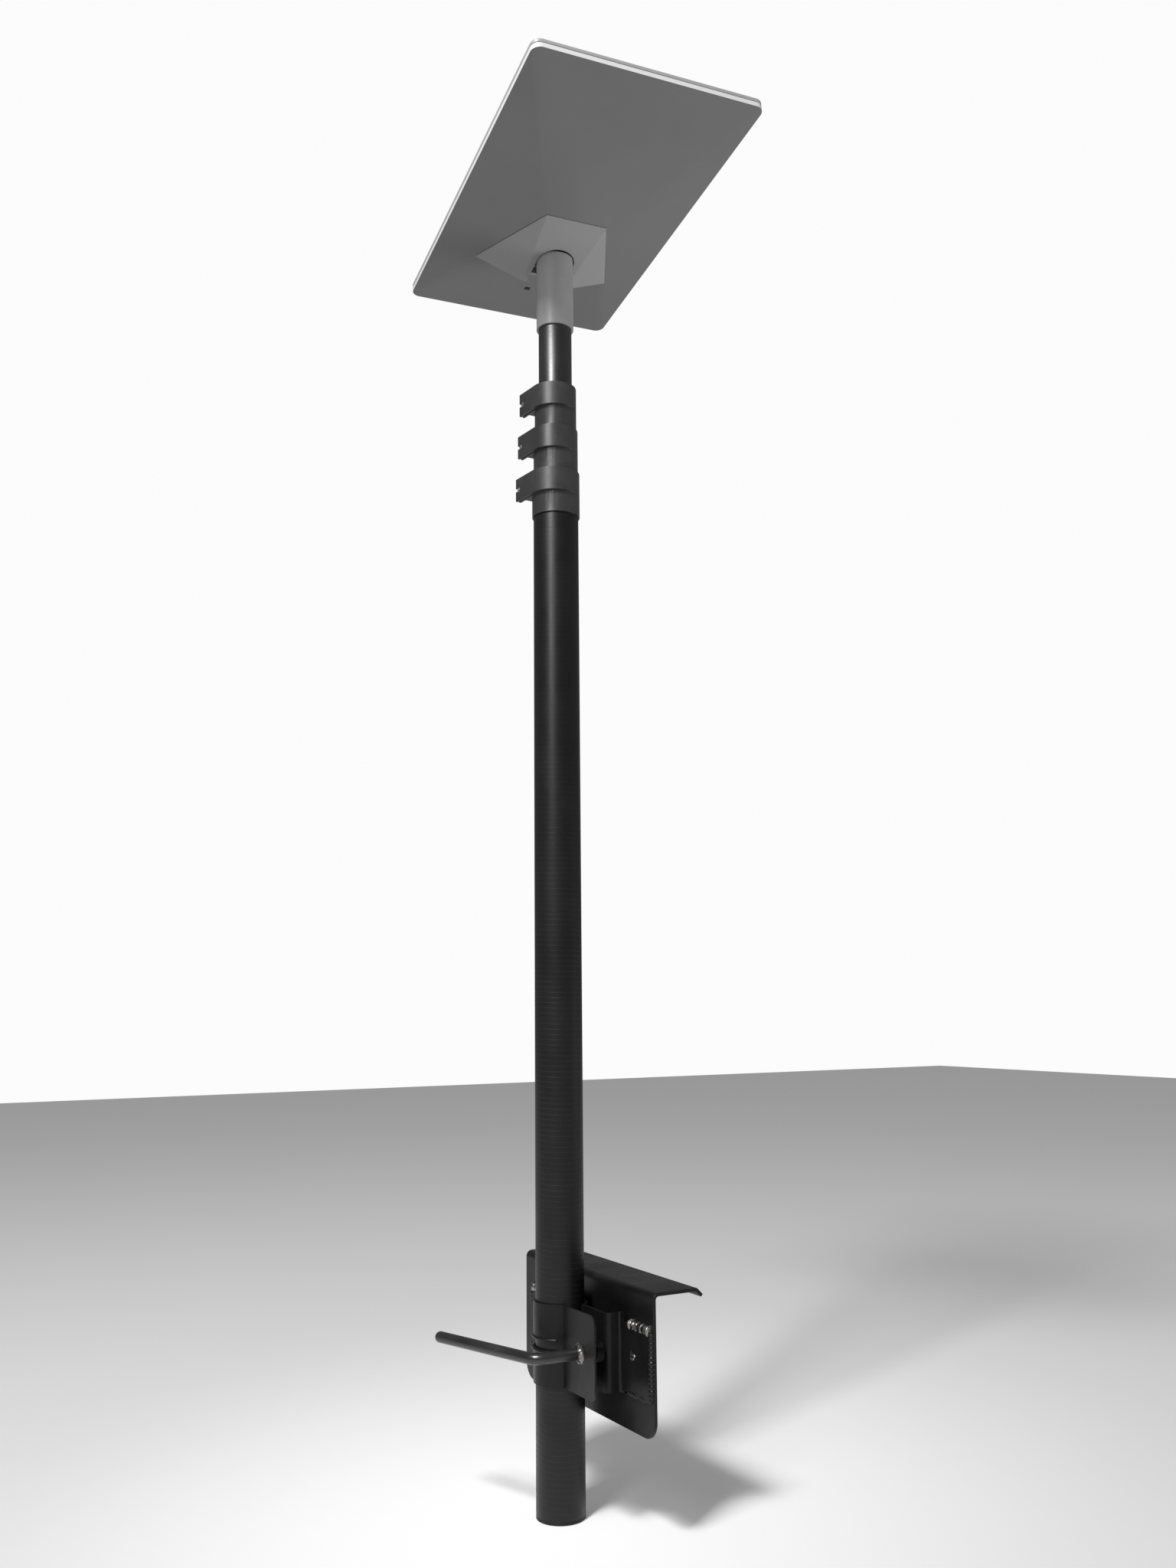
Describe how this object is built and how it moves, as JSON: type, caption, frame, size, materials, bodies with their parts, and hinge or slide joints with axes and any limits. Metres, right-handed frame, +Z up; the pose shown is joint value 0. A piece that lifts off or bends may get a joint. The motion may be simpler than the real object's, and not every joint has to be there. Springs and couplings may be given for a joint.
{
  "type": "motorised flat panel antenna on telescopic clamp-on mast",
  "caption": "Flat rectangular panel on a motorised pan and tilt stub, carried by a telescopic mast that a screw clamp holds to a hook-over wall plate.",
  "frame": {"origin": "middle of the hook plate's back face, in the upright plane through the mast's axis, 200 mm above the mast's foot", "axes": "+Z up along the mast, +Y out of the plate's back towards the wall, +X to the side of the clamp's handle"},
  "size_m": [0.5342, 0.3505, 1.7004],
  "materials": {
    "coated_steel": "satin black powder coat",
    "handle_steel": "glossy black",
    "weld_metal": "bright weld metal",
    "zinc_steel": "bright zinc plated",
    "mast_tube": "satin black coated tube with fine wound lines",
    "collar": "satin black",
    "mast_plastic": "matt black",
    "stub_grey": "satin light grey",
    "shell_grey": "matt light grey",
    "hub_grey": "matt light grey",
    "cover_white": "matt white",
    "seal_rubber": "matt",
    "board": "circuit board",
    "bare_aluminium": "milled",
    "motor_case": "satin",
    "vent_plastic": "matt"
  },
  "bodies": {
    "bracket": {"hook_plate": "coated_steel", "clamp_saddle": "coated_steel", "weld_beads": "weld_metal", "plug_welds": "weld_metal", "screw_nut": "zinc_steel", "hinge_pin": "zinc_steel"},
    "strap": {"clamp_strap": "coated_steel"},
    "handle": {"clamp_handle": "handle_steel", "handle_washer": "zinc_steel", "handle_clip": "zinc_steel"},
    "mast_base": {"base_tube": "mast_tube", "foot_cap": "mast_plastic", "lower_collar": "collar", "lower_liner": "mast_plastic", "lower_clamp_bolt": "zinc_steel"},
    "second_section": {"second_tube": "mast_tube", "second_glide": "mast_plastic", "middle_collar": "collar", "middle_liner": "mast_plastic", "middle_clamp_bolt": "zinc_steel"},
    "third_section": {"third_tube": "mast_tube", "third_glide": "mast_plastic", "upper_collar": "collar", "upper_liner": "mast_plastic", "upper_clamp_bolt": "zinc_steel"},
    "top_section": {"top_tube": "mast_tube", "top_glide": "mast_plastic", "stub_tube": "stub_grey", "stub_screws": "zinc_steel", "azimuth_bearings": "zinc_steel", "azimuth_motor": "motor_case"},
    "yoke": {"azimuth_spindle": "zinc_steel", "azimuth_yoke": "bare_aluminium", "tilt_axle": "zinc_steel"},
    "panel": {"rear_shell": "shell_grey", "hub_cover": "hub_grey", "rim_seal": "seal_rubber", "front_cover": "cover_white", "antenna_board": "board", "support_plate": "bare_aluminium", "axle_blocks": "bare_aluminium", "tilt_motor": "motor_case", "vent_plug": "vent_plastic", "board_spacers": "bare_aluminium"}
  },
  "joints": [
    {"name": "handle_turn", "type": "hinge", "parent": "strap", "child": "handle", "pos_m": [0.071, -0.0553, 0.0025], "axis": [0, -1, 0], "range_deg": [0, 360]},
    {"name": "strap_swing", "type": "hinge", "parent": "bracket", "child": "strap", "pos_m": [-0.058, -0.042, 0.0025], "axis": [0, 0, -1], "range_deg": [0, 0.9]},
    {"name": "mast_slide", "type": "slide", "parent": "bracket", "child": "mast_base", "axis": [0, 0, 1], "range_m": [-0.9, 0.1]},
    {"name": "second_extend", "type": "slide", "parent": "mast_base", "child": "second_section", "axis": [0, 0, 1], "range_m": [0, 1]},
    {"name": "third_extend", "type": "slide", "parent": "second_section", "child": "third_section", "axis": [0, 0, 1], "range_m": [0, 1]},
    {"name": "top_extend", "type": "slide", "parent": "third_section", "child": "top_section", "axis": [0, 0, 1], "range_m": [0, 1]},
    {"name": "azimuth_turn", "type": "hinge", "parent": "top_section", "child": "yoke", "pos_m": [0, -0.044, 1.435], "axis": [0, 0, 1], "range_deg": [-175, 175]},
    {"name": "panel_tilt", "type": "hinge", "parent": "yoke", "child": "panel", "pos_m": [0, -0.044, 1.435], "axis": [-0.1011, -0.9949, 0], "range_deg": [-5.8, 44.2]}
  ],
  "couplings": [
    {"joint": "strap_swing", "follows": "handle_turn", "ratio": 0.0025}
  ]
}
